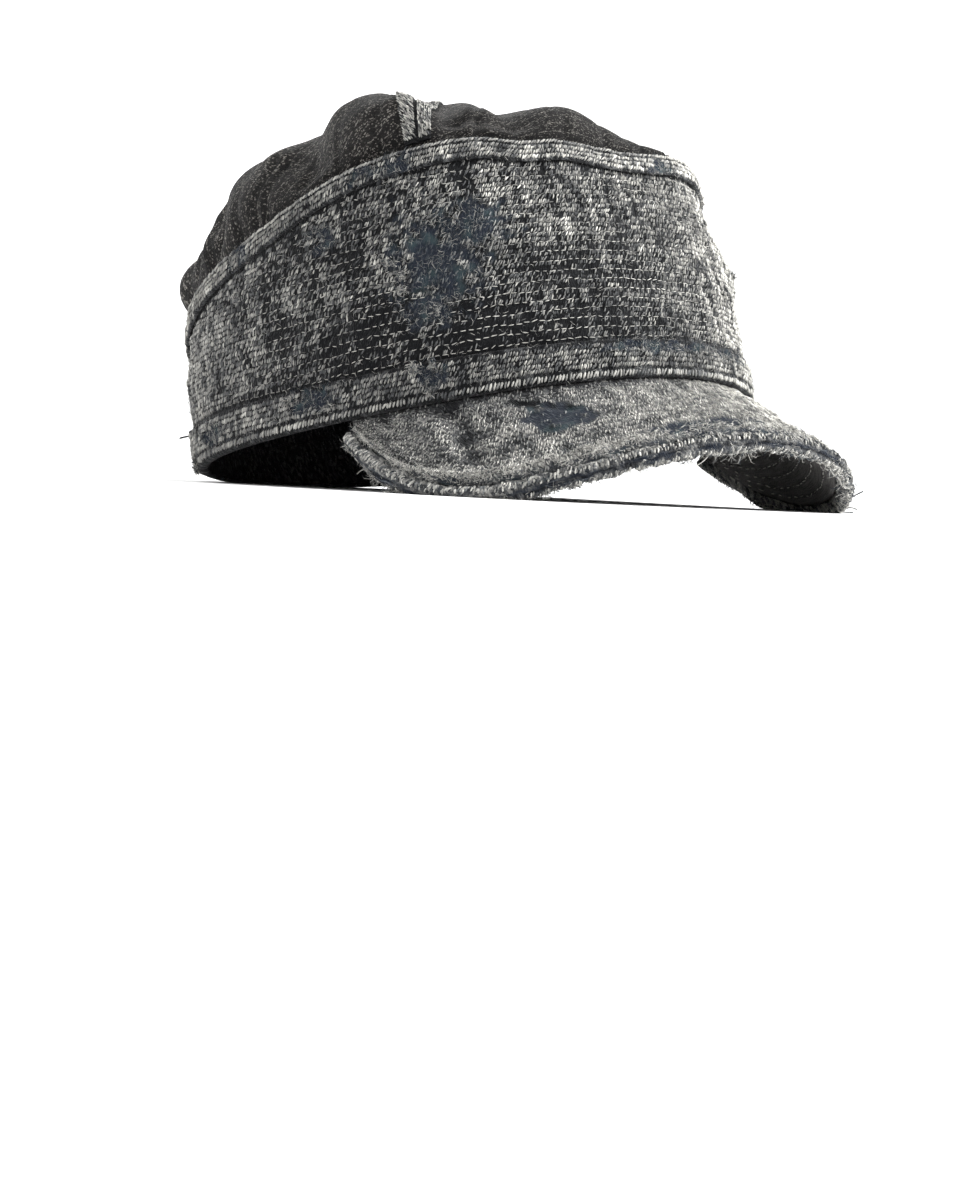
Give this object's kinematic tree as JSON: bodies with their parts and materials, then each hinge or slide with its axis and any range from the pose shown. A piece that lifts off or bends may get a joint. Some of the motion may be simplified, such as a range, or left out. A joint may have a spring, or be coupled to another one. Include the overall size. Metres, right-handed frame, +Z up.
{
  "type": "denim cap",
  "caption": "Soft denim work cap: floppy gathered crown, tall stitched slanting band with worn hems, and a short arched peak with a rolled raw edge.",
  "frame": {"origin": "on the surface that the cap rests on, under the middle of the whole cap's box", "axes": "+Z up, peak towards -Y, +X to the left of the cap as it is worn; the cap leans back a little on the back of its rim and on the two corners of its peak"},
  "size_m": [0.1722, 0.24, 0.1339],
  "materials": {
    "crown_denim": "soft worn charcoal denim with fine pale pinstripes",
    "strip_cloth": "salt-and-pepper twill with a dark seam down its middle",
    "band_cloth": "chunky salt-and-pepper cloth with rows of white running stitches and worn indigo patches",
    "hem_cloth": "folded hem of chunky salt-and-pepper cloth, worn through in places",
    "peak_cloth": "pale grey fine twill with concentric stitching",
    "lining_cloth": "near-black cloth with concentric grey stitching",
    "edge_cloth": "rolled raw binding, frayed into a pale fringe"
  },
  "bodies": {
    "root": {"crown": "crown_denim", "crown_seam_strip": "strip_cloth", "band": "band_cloth", "band_top_hem": "hem_cloth", "band_bottom_hem": "hem_cloth", "peak": "peak_cloth", "peak_lining": "lining_cloth", "peak_rolled_edge": "edge_cloth"}
  },
  "joints": []
}
